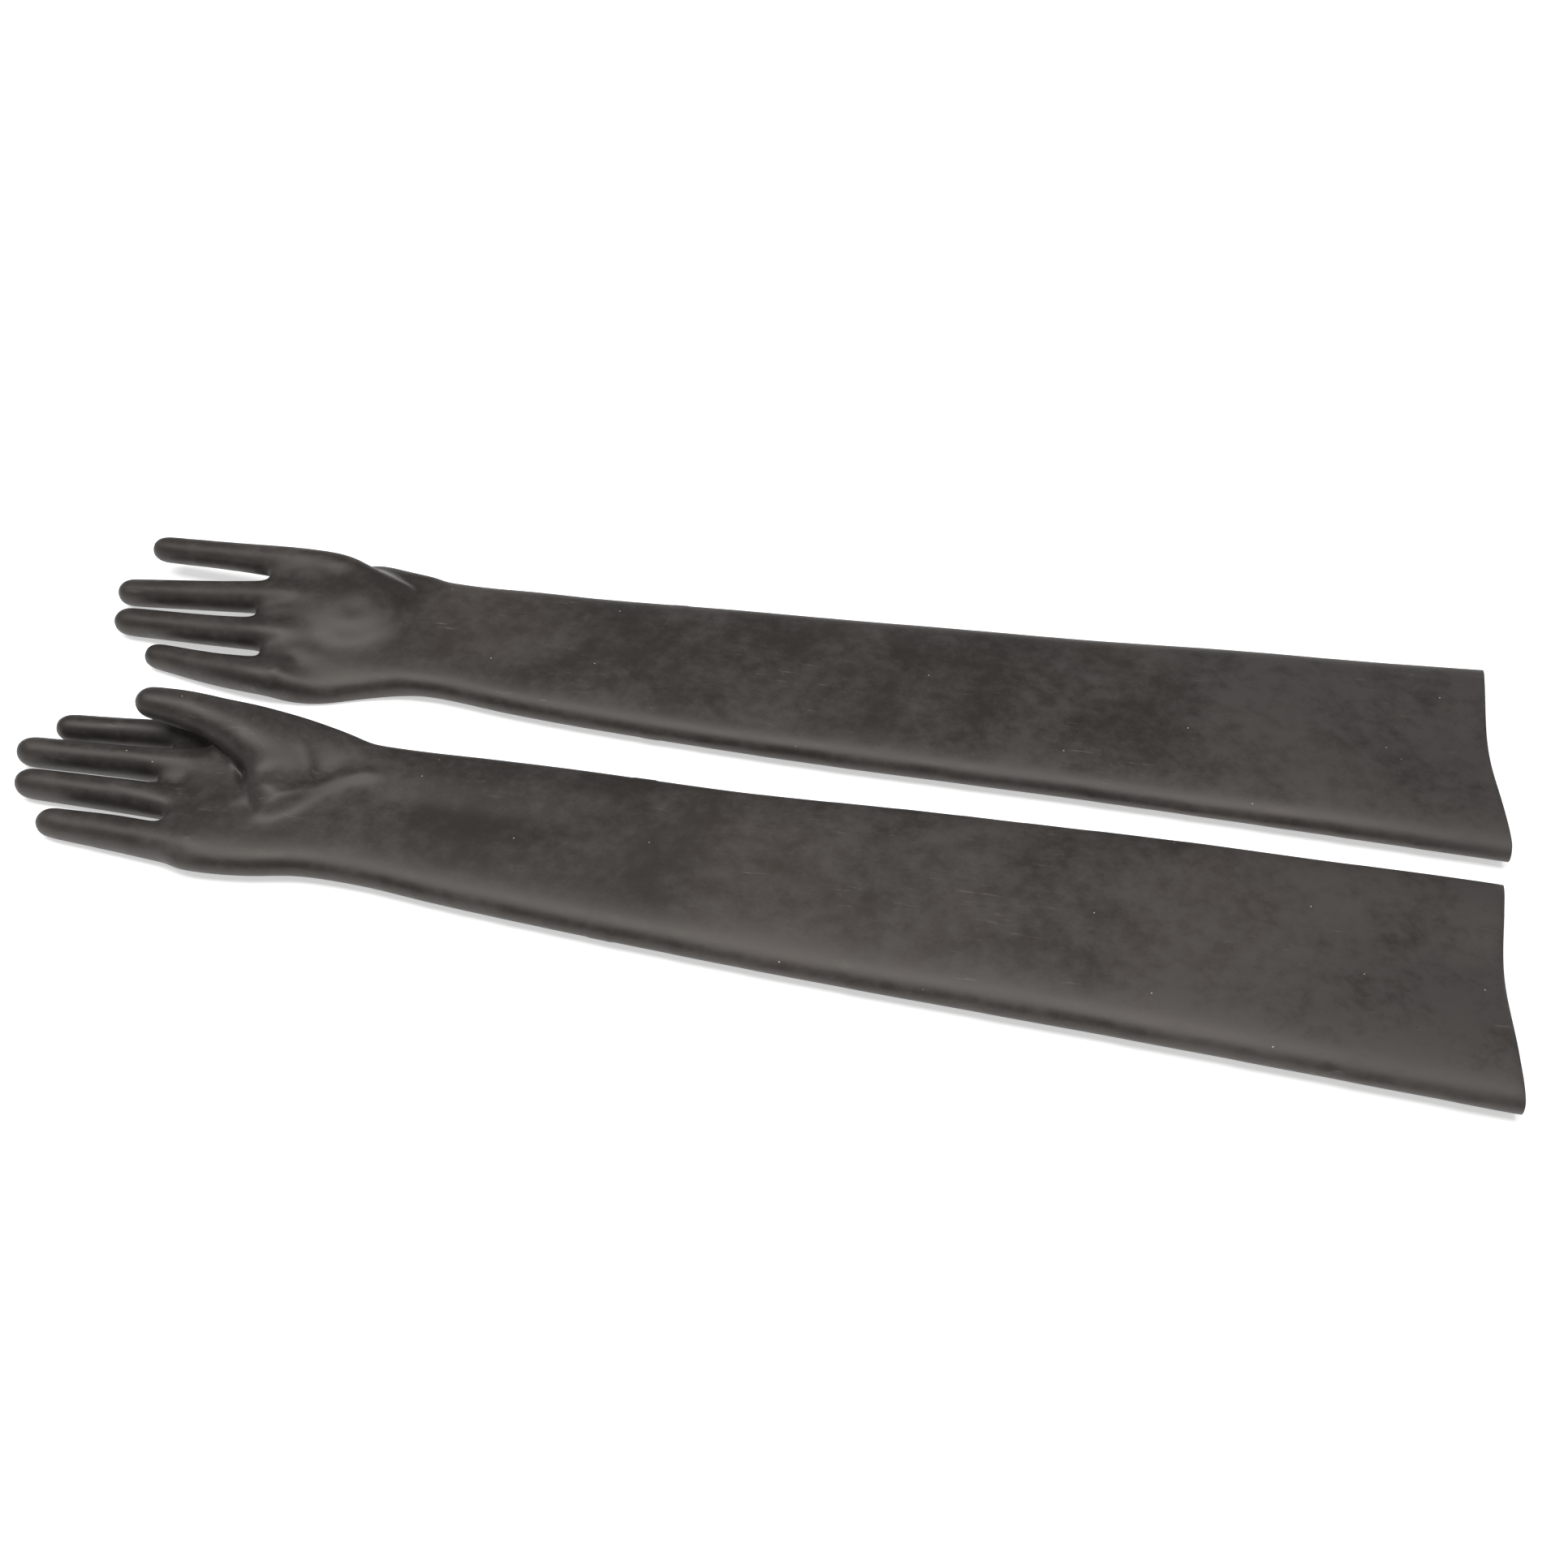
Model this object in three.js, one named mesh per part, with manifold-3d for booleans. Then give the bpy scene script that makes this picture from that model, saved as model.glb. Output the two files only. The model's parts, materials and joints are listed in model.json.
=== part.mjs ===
// A pair of arm-length dipped rubber gloves, laid side by side on a flat surface.
// Each glove is one seamless hollow moulding, open at the cuff. Its skin is divided where it bends:
// thumb, fingers, palm, forearm and upper sleeve. Each finger is divided again from its base.
// Frame, in mm: +X from the fingertips to the cuffs, +Z up, z = 0 on the surface. The left glove lies
// back up at +Y, with its thumb beneath the palm. The right glove lies palm up at -Y.
import * as THREE from "three";
import { mergeVertices } from "three/addons/utils/BufferGeometryUtils.js";
import Module from "manifold-3d";

const wasm = await Module();
wasm.setup();

// ---------- driving dimensions, mm ----------
const LENGTH = 800; // middle fingertip to cuff
const WALL = 1.5; // rubber skin
const GAP = 0.3; // between the regions of one moulding
const WEBS = 88; // where the fingers part, measured from the middle fingertip
const WEB_LEAN = 0.15;
const THUMB_BEND = 110;
const WRIST = 215;
const ELBOW = 520;
const TURN = THREE.MathUtils.degToRad(1.13); // each glove's cuff swings outward by this
const SPREAD = 66.3; // each glove's middle fingertip stands this far from the centre line
const STAGGER = 2.5; // the left glove lies this far towards its fingertips, the right towards its cuff

// Sleeve, as it lies flattened: a straight taper from the wrist to the cuff.
const WRIST_WIDTH = 97;
const CUFF_WIDTH = 141;
const SLEEVE_HEIGHT = 20;

const PALM_HALF_WIDTH = 51;
const PALM_HALF_HEIGHT = 11.5;

const RUBBER = { color: 0x2b2725, roughness: 0.55, metalness: 0 };

// ---------- solids ----------
function solid(geometry) {
  const bare = new THREE.BufferGeometry();
  bare.setAttribute("position", geometry.getAttribute("position"));
  bare.setIndex(geometry.getIndex());
  const merged = mergeVertices(bare, 1e-4);
  return new wasm.Manifold(
    new wasm.Mesh({
      numProp: 3,
      vertProperties: merged.getAttribute("position").array,
      triVerts: new Uint32Array(merged.getIndex().array),
    }),
  );
}

function block(low, high) {
  const size = high.map((v, i) => v - low[i]);
  const box = new THREE.BoxGeometry(...size);
  box.translate(...high.map((v, i) => (v + low[i]) / 2));
  return solid(box);
}

// A round-ended tapered stall from the centre of its tip to the centre of its root.
function stall(digit, inset) {
  const tip = new THREE.Vector3(...digit.tip);
  const root = new THREE.Vector3(...digit.root);
  const length = tip.distanceTo(root);
  const round = digit.tipRadius - inset;
  const profile = [];
  for (let i = 0; i <= 5; i++) {
    const a = (i / 5) * (Math.PI / 2);
    profile.push(new THREE.Vector2(round * Math.sin(a), -round * Math.cos(a)));
  }
  profile[0].x = 0;
  profile.push(new THREE.Vector2(digit.rootRadius - inset, length));
  profile.push(new THREE.Vector2(0, length));
  const geometry = new THREE.LatheGeometry(profile, 18);
  const along = root.clone().sub(tip).normalize();
  geometry.applyQuaternion(
    new THREE.Quaternion().setFromUnitVectors(new THREE.Vector3(0, 1, 0), along),
  );
  geometry.translate(tip.x, tip.y, tip.z);
  return solid(geometry);
}

// The mound at the base of the thumb.
function mound(shape, inset) {
  const geometry = new THREE.SphereGeometry(1, 18, 12);
  geometry.scale(...shape.radii.map((r) => r - inset));
  geometry.translate(...shape.centre);
  return solid(geometry);
}

// Unit cross-section of a flattened tube: flat below, round at both edges, slightly domed on top.
function flattenedSection() {
  const edge = 0.84;
  const section = new THREE.Shape();
  section.moveTo(-edge, -1);
  section.lineTo(edge, -1);
  section.absellipse(edge, -0.06, 1 - edge, 0.94, -Math.PI / 2, Math.PI / 2, false, 0);
  section.quadraticCurveTo(0, 1.12, -edge, 0.88);
  section.absellipse(-edge, -0.06, 1 - edge, 0.94, Math.PI / 2, (3 * Math.PI) / 2, false, 0);
  return section;
}

// A tube whose section follows the given shape along x. The shape tells, at a distance from the
// fingertips, the half width, half height, centre and sideways tilt.
function tube(from, to, steps, shapeAt, inset) {
  const geometry = new THREE.ExtrudeGeometry(flattenedSection(), {
    depth: 1,
    steps,
    bevelEnabled: false,
    curveSegments: 7,
  });
  const points = geometry.getAttribute("position");
  for (let i = 0; i < points.count; i++) {
    const x = THREE.MathUtils.lerp(from, to, points.getZ(i));
    const s = shapeAt(x);
    const y = s.y + points.getX(i) * (s.halfWidth - inset);
    const z = s.z + points.getY(i) * (s.halfHeight - inset) + s.tilt * (y - s.y);
    points.setXYZ(i, x - s.lean * y, y, z);
  }
  return solid(geometry);
}

const smooth = (x, from, to) => THREE.MathUtils.smoothstep(x, from, to);

function sleeveAt(x) {
  const t = (x - WRIST) / (LENGTH - WRIST);
  const halfWidth = THREE.MathUtils.lerp(WRIST_WIDTH, CUFF_WIDTH, t) / 2;
  return { halfWidth, halfHeight: SLEEVE_HEIGHT / 2, y: 0, z: SLEEVE_HEIGHT / 2, tilt: 0, lean: 0 };
}

// The palm widens from the wrist to the knuckles and closes in a rounded edge at the finger webs.
// It tilts sideways where a thumb lies beneath it.
function palmAt(hand) {
  return (x) => {
    const towardKnuckles = 1 - smooth(x, 125, WRIST);
    const closing = Math.sqrt(1 - (1 - Math.min(1, (x - WEBS + 1) / 20)) ** 2);
    const halfHeight = THREE.MathUtils.lerp(SLEEVE_HEIGHT / 2, PALM_HALF_HEIGHT, towardKnuckles);
    const width = THREE.MathUtils.lerp(WRIST_WIDTH / 2, PALM_HALF_WIDTH, towardKnuckles);
    return {
      halfWidth: width - 4 * (1 - closing),
      halfHeight: halfHeight * (0.4 + 0.6 * closing),
      y: hand.palmOffset * towardKnuckles,
      z: THREE.MathUtils.lerp(SLEEVE_HEIGHT / 2, hand.palmCentre, 1 - smooth(x, 135, WRIST)),
      tilt: hand.tilt * towardKnuckles,
      lean: WEB_LEAN * (1 - smooth(x, WEBS, 155)),
    };
  };
}

// ---------- the two hands ----------
// Digits run from the centre of the tip to the centre of the root; a finger's root sits at mid palm.
// The palm's centre is its height at its middle, which lies the palm's offset from the glove's own.
const FINGERS = {
  index: { rootX: 104, tipRadius: 7.6, rootRadius: 10.2, bend: 50 },
  middle: { rootX: 106, tipRadius: 7.8, rootRadius: 10.4, bend: 52 },
  ring: { rootX: 108, tipRadius: 7.6, rootRadius: 10.2, bend: 56 },
  little: { rootX: 112, tipRadius: 7.1, rootRadius: 10, bend: 68 },
};

const RIGHT = {
  side: "right",
  palmOffset: -2,
  palmCentre: PALM_HALF_HEIGHT,
  tilt: 0,
  tips: {
    index: [19, 28, 7.6],
    middle: [7.8, 8, 7.8],
    ring: [17, -14, 7.6],
    little: [41, -38, 7.1],
  },
  rootY: { index: 37, middle: 14.5, ring: -12, little: -39.5 },
  thumb: { tip: [76, 31, 38], root: [154, 24, 31], tipRadius: 8.5, rootRadius: 15.5 },
  thenar: { centre: [164, 21, 21], radii: [38, 25, 21] },
};

const LEFT = {
  side: "left",
  palmOffset: -8,
  palmCentre: 20.4,
  tilt: 0.2,
  tips: {
    index: [19, 46, 19],
    middle: [7.8, 13, 11],
    ring: [17, -11, 8.5],
    little: [46, -37, 7.1],
  },
  rootY: { index: 35, middle: 11.5, ring: -14, little: -44 },
  thumb: { tip: [76, 31, 7.5], root: [154, 24, 10.5], tipRadius: 7.5, rootRadius: 10.5 },
  thenar: { centre: [164, 21, 13], radii: [38, 25, 13] },
};

function fingerOf(hand, name) {
  const finger = FINGERS[name];
  const y = hand.rootY[name];
  const z = hand.palmCentre + hand.tilt * (y - hand.palmOffset);
  return { ...finger, tip: hand.tips[name], root: [finger.rootX, y, z] };
}

// ---------- one glove, in its own frame: skins less hollows, divided at the bending lines ----------
function beforeStation(x) {
  return block([-50, -150, -50], [x, 150, 150]);
}

// The line of the finger webs leans, so that the little finger parts from the palm nearest the wrist.
function beforeWebs(offset) {
  const geometry = new THREE.BoxGeometry(150, 300, 200);
  geometry.translate(WEBS + offset - 75, 0, 50);
  const points = geometry.getAttribute("position");
  for (let i = 0; i < points.count; i++) {
    points.setX(i, points.getX(i) - WEB_LEAN * points.getY(i));
  }
  return solid(geometry);
}

function glove(hand) {
  const parts = {};
  const thumb = [0, WALL].map((inset) => stall(hand.thumb, inset));
  const thenar = [0, WALL].map((inset) => mound(hand.thenar, inset));
  const palm = [0, WALL].map((inset) => tube(WEBS + inset, WRIST + inset, 12, palmAt(hand), inset));
  let skin = palm[0].add(thumb[0]).add(thenar[0]);
  let hollow = palm[1].add(thumb[1]).add(thenar[1]);
  for (const name of Object.keys(FINGERS)) {
    const finger = fingerOf(hand, name);
    const [outer, inner] = [0, WALL].map((inset) => stall(finger, inset));
    const shell = outer.subtract(inner);
    parts[`${name}_finger`] = shell.intersect(beforeStation(finger.bend - GAP / 2));
    parts[`${name}_finger_base`] = shell
      .intersect(beforeWebs(-GAP / 2))
      .subtract(beforeStation(finger.bend + GAP / 2));
    skin = skin.add(outer);
    hollow = hollow.add(inner);
  }
  // The free part of the thumb presses a groove into the palm that it lies against.
  const groove = (depth) => stall(hand.thumb, -depth).intersect(beforeStation(THUMB_BEND + GAP / 2));
  parts.thumb = thumb[0].subtract(thumb[1]).intersect(beforeStation(THUMB_BEND - GAP / 2));
  parts.palm = skin
    .subtract(groove(GAP))
    .subtract(hollow.subtract(groove(GAP + WALL)))
    .subtract(beforeWebs(GAP / 2))
    .intersect(beforeStation(WRIST - GAP / 2));
  parts.forearm = sleeve(WRIST + GAP / 2, ELBOW - GAP / 2);
  parts.upper_sleeve = sleeve(ELBOW + GAP / 2, LENGTH);
  return parts;
}

function sleeve(from, to) {
  return tube(from, to, 2, sleeveAt, 0).subtract(tube(from - 1, to + 1, 2, sleeveAt, WALL));
}

// ---------- the pair ----------
function place(parts, hand) {
  const outward = hand.side === "left" ? 1 : -1;
  const group = new THREE.Group();
  group.name = `${hand.side}_glove`;
  const reach = LENGTH * Math.cos(TURN) + (CUFF_WIDTH / 2) * Math.sin(TURN);
  group.position.set(-reach / 2 - outward * STAGGER, outward * SPREAD, 0);
  group.rotation.z = outward * TURN;
  for (const [name, part] of Object.entries(parts)) {
    const mesh = part.getMesh();
    const positions = new Float32Array(mesh.numVert * 3);
    for (let i = 0; i < mesh.numVert; i++) {
      positions.set(mesh.vertProperties.subarray(i * mesh.numProp, i * mesh.numProp + 3), i * 3);
    }
    const geometry = new THREE.BufferGeometry();
    geometry.setAttribute("position", new THREE.BufferAttribute(positions, 3));
    geometry.setIndex(new THREE.BufferAttribute(mesh.triVerts, 1));
    geometry.computeVertexNormals();
    const region = new THREE.Mesh(geometry, new THREE.MeshStandardMaterial(RUBBER));
    region.name = `${hand.side}_${name}`;
    group.add(region);
  }
  return group;
}

const pair = new THREE.Group();
pair.name = "arm_length_rubber_gloves";
for (const hand of [LEFT, RIGHT]) {
  pair.add(place(glove(hand), hand));
}

export default pair;
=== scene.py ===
"""A pair of arm-length dipped rubber insulating gloves, lying slack on a pale surface.

Each glove is one seamless moulding. Its skin is modelled in millimetres in the glove's own frame: x runs from
the middle fingertip to the cuff, y towards the thumb, z up from the surface. It is then divided where the
rubber bends and placed in the row frame in metres.
"""

import json
import logging
import math
from collections.abc import Iterable
from dataclasses import dataclass, field
from enum import Enum

import bmesh
import bpy
import numpy as np
from mathutils import Matrix, Vector


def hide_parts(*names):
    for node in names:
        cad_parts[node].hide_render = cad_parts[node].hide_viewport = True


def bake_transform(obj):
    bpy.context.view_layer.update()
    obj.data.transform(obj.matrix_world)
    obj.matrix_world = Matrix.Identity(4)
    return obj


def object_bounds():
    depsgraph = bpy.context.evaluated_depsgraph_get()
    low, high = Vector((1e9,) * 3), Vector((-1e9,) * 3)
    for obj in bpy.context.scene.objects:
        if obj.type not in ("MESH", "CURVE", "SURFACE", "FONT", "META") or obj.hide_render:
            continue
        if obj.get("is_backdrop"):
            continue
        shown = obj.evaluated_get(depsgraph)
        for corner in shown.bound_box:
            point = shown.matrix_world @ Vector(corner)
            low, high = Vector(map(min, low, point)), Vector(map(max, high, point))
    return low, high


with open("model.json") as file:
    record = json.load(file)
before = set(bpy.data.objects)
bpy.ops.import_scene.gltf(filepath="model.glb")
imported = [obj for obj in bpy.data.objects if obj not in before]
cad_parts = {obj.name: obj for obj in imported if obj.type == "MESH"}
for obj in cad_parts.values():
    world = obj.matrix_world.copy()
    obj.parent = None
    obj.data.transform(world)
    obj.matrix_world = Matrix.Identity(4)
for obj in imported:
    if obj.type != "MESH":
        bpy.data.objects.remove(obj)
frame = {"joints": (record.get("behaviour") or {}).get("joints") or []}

log = logging.getLogger("gloves")

MM = 0.001
# Lengths in millimetres: the rubber's wall, the grid of the even mesh, how near a vertex is moved on to a
# cut, and what smoothing takes off a round shape.
WALL = 1.5
VOXEL = 1.8
SNAP = 0.5
SHRINK = 0.7
# How far along and beside a digit, in millimetres, its cut divides faces.
CUT_LENGTH = 6.0
CUT_MARGIN = 2.5
# Places along a glove, in millimetres from the middle fingertip.
CUFF = 800.0
WRIST = 215.0

Point = tuple[float, float, float]
PlanPoint = tuple[float, float]


class Side(Enum):
    """Which hand a glove is for."""

    LEFT = "left"
    RIGHT = "right"


# ---------------------------------------------------------------- curves


def through(xs: np.ndarray, ys: np.ndarray, x: np.ndarray) -> np.ndarray:
    """A smooth curve through given points, without overshoot at the ends.

    Args:
        xs: Rising places of the points.
        ys: Their values.
        x: Where the curve is read.

    Returns:
        The curve's values at x.
    """
    x = np.clip(x, xs[0], xs[-1])
    slopes = np.gradient(ys, xs)
    i = np.clip(np.searchsorted(xs, x, side="right") - 1, 0, len(xs) - 2)
    span = xs[i + 1] - xs[i]
    t = (x - xs[i]) / span
    h00 = 2 * t**3 - 3 * t**2 + 1
    h10 = t**3 - 2 * t**2 + t
    h01 = -2 * t**3 + 3 * t**2
    h11 = t**3 - t**2
    return h00 * ys[i] + h10 * span * slopes[i] + h01 * ys[i + 1] + h11 * span * slopes[i + 1]


def ease(x: np.ndarray, start: float, end: float) -> np.ndarray:
    """A smooth step from 0 at start to 1 at end."""
    t = np.clip((x - start) / (end - start), 0.0, 1.0)
    return t * t * (3 - 2 * t)


def rounded_path(path: tuple[PlanPoint, ...], steps: int = 6) -> np.ndarray:
    """A finely divided smooth line through the points of a path.

    Args:
        path: Points in plan, in order.
        steps: Divisions between two points.

    Returns:
        An array of plan points.
    """
    points = np.array(path, float)
    at = np.arange(len(points), dtype=float)
    fine = np.linspace(0.0, len(points) - 1.0, steps * (len(points) - 1) + 1)
    return np.stack([through(at, points[:, k], fine) for k in (0, 1)], axis=1)


def relax(bm: bmesh.types.BMesh, verts: Iterable[bmesh.types.BMVert], times: int) -> None:
    """Smooths vertices towards their neighbours.

    Args:
        bm: The mesh.
        verts: The vertices that move.
        times: How often they are smoothed.
    """
    for _ in range(times):
        bmesh.ops.smooth_vert(
            bm, verts=verts, factor=0.5, use_axis_x=True, use_axis_y=True, use_axis_z=True
        )


# ---------------------------------------------------------------- solid shapes that a skin is made from


def unit_tube(segments: int, rings: int) -> bmesh.types.BMesh:
    """A closed cylinder of radius 1 along x, from -0.5 to 0.5, divided along its length.

    Args:
        segments: Divisions round the cylinder.
        rings: Cuts along it.

    Returns:
        A new bmesh.
    """
    bm = bmesh.new()
    bmesh.ops.create_cone(
        bm,
        cap_ends=True,
        segments=segments,
        radius1=1.0,
        radius2=1.0,
        depth=1.0,
        matrix=Matrix.Rotation(math.pi / 2, 4, "Y"),
    )
    lengthwise = [e for e in bm.edges if abs(e.verts[0].co.x - e.verts[1].co.x) > 0.5]
    bmesh.ops.subdivide_edges(bm, edges=lengthwise, cuts=rings)
    return bm


@dataclass(frozen=True)
class Station:
    """One cross-section of a slack tube.

    Attributes:
        along: Its place along the glove.
        low: Its little-finger side, y.
        high: Its thumb side, y.
        base: Its underside, z.
        top: Its upper side, z.
        tilt: How much higher it stands at its thumb side than at its middle.
    """

    along: float
    low: float
    high: float
    base: float
    top: float
    tilt: float = 0.0


@dataclass(frozen=True)
class SlackTube:
    """A flattened tube through a row of stations, with rounded edges and a gently domed top.

    Attributes:
        stations: Its cross-sections, from the fingers to the cuff.
        edge_power: How flat its faces are. A plain oval has 2.
        dome: How far the top falls towards its edges, as a share of the half thickness.
        segments: Divisions round it.
        step: Length of a division along it.
    """

    stations: tuple[Station, ...]
    edge_power: float = 7.0
    dome: float = 0.12
    segments: int = 96
    step: float = 6.0

    def build(self) -> bmesh.types.BMesh:
        """Makes the closed tube.

        Returns:
            A new bmesh, in millimetres.
        """
        first, last = self.stations[0].along, self.stations[-1].along
        bm = unit_tube(self.segments, int((last - first) / self.step))
        unit = np.array([v.co for v in bm.verts])
        for vert, place in zip(bm.verts, self._shape(unit, first, last)):
            vert.co = place
        return bm

    def _shape(self, unit: np.ndarray, first: float, last: float) -> np.ndarray:
        """Points of a unit cylinder moved on to the tube's surface.

        Args:
            unit: Points of the cylinder, x from -0.5 to 0.5.
            first: Where the tube starts.
            last: Where it ends.

        Returns:
            The moved points.
        """
        x = first + (unit[:, 0] + 0.5) * (last - first)
        xs = np.array([s.along for s in self.stations])
        low, high, base, top, tilt = (
            through(xs, np.array([getattr(s, name) for s in self.stations]), x)
            for name in ("low", "high", "base", "top", "tilt")
        )
        angle = np.arctan2(unit[:, 2], unit[:, 1])
        wide = np.sign(np.cos(angle)) * np.abs(np.cos(angle)) ** (2.0 / self.edge_power)
        thick = np.sin(angle)
        half_width, half_height = (high - low) / 2, (top - base) / 2
        y = (high + low) / 2 + wide * half_width
        crown = 1.0 - self.dome * wide**2 * (thick > 0)
        z = (top + base) / 2 + thick * half_height * crown + tilt * wide
        return np.stack([x, y, z], axis=1)


@dataclass(frozen=True)
class Knot:
    """An oval on the centre line of a stall.

    Attributes:
        x, y, z: Its centre.
        radius: Its half thickness.
        spread: Its half width as a share of the half thickness.
    """

    x: float
    y: float
    z: float
    radius: float
    spread: float = 1.0


@dataclass(frozen=True)
class Stall:
    """A round-ended stall that follows a smooth line through its knots, tip first.

    Attributes:
        chain: Its knots.
        segments: Divisions round it.
        rings: Divisions along it.
        cap_share: The share of those divisions that each round end takes.
        pole: Half angle, in degrees, of the small flat disc at each end.
    """

    chain: tuple[Knot, ...]
    segments: int = 32
    rings: int = 60
    cap_share: float = 0.15
    pole: float = 8.0

    def at(self, share: np.ndarray) -> np.ndarray:
        """The ovals at shares of the way along the chain.

        Args:
            share: Places from 0 to 1.

        Returns:
            A row of x, y, z, radius and spread for each share.
        """
        knots = np.array([(k.x, k.y, k.z, k.radius, k.spread) for k in self.chain])
        places = np.linspace(0.0, 1.0, len(knots))
        return np.stack([through(places, knots[:, k], share) for k in range(5)], axis=1)

    def build(self) -> bmesh.types.BMesh:
        """Makes the stall as one closed tube with a round cap at each end.

        Returns:
            A new bmesh, in millimetres.
        """
        bm = unit_tube(self.segments, self.rings)
        unit = np.array([v.co for v in bm.verts])
        run = (unit[:, 0] + 0.5) / self.cap_share
        from_end = np.minimum(run, 1 / self.cap_share - run)
        cap = np.radians(self.pole + (90 - self.pole) * np.clip(from_end, 0.0, 1.0))
        share = np.clip((unit[:, 0] + 0.5 - self.cap_share) / (1 - 2 * self.cap_share), 0.0, 1.0)
        x, y, z, radius, spread = self.at(share).T
        radius = radius + SHRINK
        outward = np.where(unit[:, 0] < 0, -1.0, 1.0)
        places = np.stack(
            [
                x + outward * radius * np.cos(cap),
                y + unit[:, 1] * radius * spread * np.sin(cap),
                z + unit[:, 2] * radius * np.sin(cap),
            ],
            axis=1,
        )
        for vert, place in zip(bm.verts, places):
            vert.co = place
        return bm

    def beside(self, x: float) -> np.ndarray:
        """The oval nearest to a place along the glove: its x, y, z, radius and spread."""
        ovals = self.at(np.linspace(0.0, 1.0, 101))
        return ovals[np.argmin(np.abs(ovals[:, 0] - x))]

    def holds(self, point: Vector, margin: float = 3.0) -> bool:
        """Tells whether a point lies within the stall, or no more than the margin outside it.

        Args:
            point: The point.
            margin: The margin, in millimetres.

        Returns:
            True if it does.
        """
        _, y, z, radius, spread = self.beside(point.x)
        across = (point.y - y) / (radius * spread + margin)
        return math.hypot(across, (point.z - z) / (radius + margin)) < 1.0

    @property
    def tip(self) -> Vector:
        """The centre of the first oval."""
        return Vector((self.chain[0].x, self.chain[0].y, self.chain[0].z))


@dataclass(frozen=True)
class Mound:
    """A rounded swelling of the hand: the ball of the thumb or the heel of the hand."""

    centre: Point
    radii: Point
    turn: float = 0.0

    def build(self) -> bmesh.types.BMesh:
        """Makes the oval.

        Returns:
            A new bmesh, in millimetres.
        """
        bm = bmesh.new()
        place = (
            Matrix.Translation(self.centre)
            @ Matrix.Rotation(math.radians(self.turn), 4, "Z")
            @ Matrix.Diagonal((*self.radii, 1.0))
        )
        bmesh.ops.create_uvsphere(bm, u_segments=48, v_segments=24, radius=1.0, matrix=place)
        return bm


# ---------------------------------------------------------------- marks pressed into or raised from the skin


@dataclass(frozen=True)
class Reach:
    """The heights that a mark acts between, on skin that faces up."""

    low: float = -5.0
    high: float = 90.0
    soft: float = 2.0

    def share(self, points: np.ndarray, normals: np.ndarray) -> np.ndarray:
        """How far each point of the skin follows the mark.

        Args:
            points: Places on the skin.
            normals: Their outward directions.

        Returns:
            A share from 0 to 1 for each point.
        """
        up = ease(normals[:, 2], -0.1, 0.35)
        above = ease(points[:, 2], self.low - self.soft, self.low + self.soft)
        below = 1 - ease(points[:, 2], self.high - self.soft, self.high + self.soft)
        return up * above * below


@dataclass(frozen=True)
class Swell:
    """An oval swelling, or a hollow where the lift is negative."""

    x: float
    y: float
    length: float
    width: float
    lift: float
    turn: float = 0.0
    reach: Reach = Reach()

    def press(self, points: np.ndarray, normals: np.ndarray) -> None:
        """Lifts the points inside the oval.

        Args:
            points: Places on the skin, changed in place.
            normals: Their outward directions.
        """
        c, s = math.cos(math.radians(self.turn)), math.sin(math.radians(self.turn))
        dx, dy = points[:, 0] - self.x, points[:, 1] - self.y
        u = (dx * c + dy * s) / self.length
        v = (-dx * s + dy * c) / self.width
        share = np.exp(-2.0 * (u * u + v * v)) * self.reach.share(points, normals)
        points[:, 2] += self.lift * share


@dataclass(frozen=True)
class Fold:
    """A ridge along a line, or a crease where the lift is negative. It fades at both ends."""

    path: tuple[PlanPoint, ...]
    width: float
    lift: float
    reach: Reach = Reach()

    def press(self, points: np.ndarray, normals: np.ndarray) -> None:
        """Lifts the points beside the line.

        Args:
            points: Places on the skin, changed in place.
            normals: Their outward directions.
        """
        line = rounded_path(self.path)
        lengths = np.concatenate([[0.0], np.cumsum(np.linalg.norm(np.diff(line, axis=0), axis=1))])
        nearest = np.full(len(points), np.inf)
        place = np.zeros(len(points))
        for a, b, done in zip(line, line[1:], lengths):
            run = b - a
            t = np.clip(((points[:, :2] - a) @ run) / (run @ run), 0.0, 1.0)
            away = np.linalg.norm(points[:, :2] - (a + t[:, None] * run), axis=1)
            closer = away < nearest
            nearest = np.where(closer, away, nearest)
            place = np.where(closer, done + t * np.linalg.norm(run), place)
        fade = ease(place, 0.0, 0.18 * lengths[-1]) * (1 - ease(place, 0.82 * lengths[-1], lengths[-1]))
        share = np.exp(-((nearest / self.width) ** 2)) * (0.15 + 0.85 * fade)
        points[:, 2] += self.lift * share * self.reach.share(points, normals)


@dataclass(frozen=True)
class Slackness:
    """The slow waves of a slack sleeve, as a few crossing ripples."""

    height: float
    phase: float
    start: float = 235.0

    def press(self, points: np.ndarray, normals: np.ndarray) -> None:
        """Raises and lowers the upper skin of the sleeve.

        Args:
            points: Places on the skin, changed in place.
            normals: Their outward directions.
        """
        x, y = points[:, 0], points[:, 1]
        wave = (
            np.sin(x / 41.0 + y / 55.0 + self.phase)
            + 0.7 * np.sin(x / 23.0 - y / 31.0 + 2.1 * self.phase)
            + 0.5 * np.sin(x / 67.0 + y / 19.0 + 3.7 * self.phase)
        )
        share = ease(x, self.start, self.start + 60.0) * ease(normals[:, 2], 0.0, 0.6)
        points[:, 2] += self.height * wave * share


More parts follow.
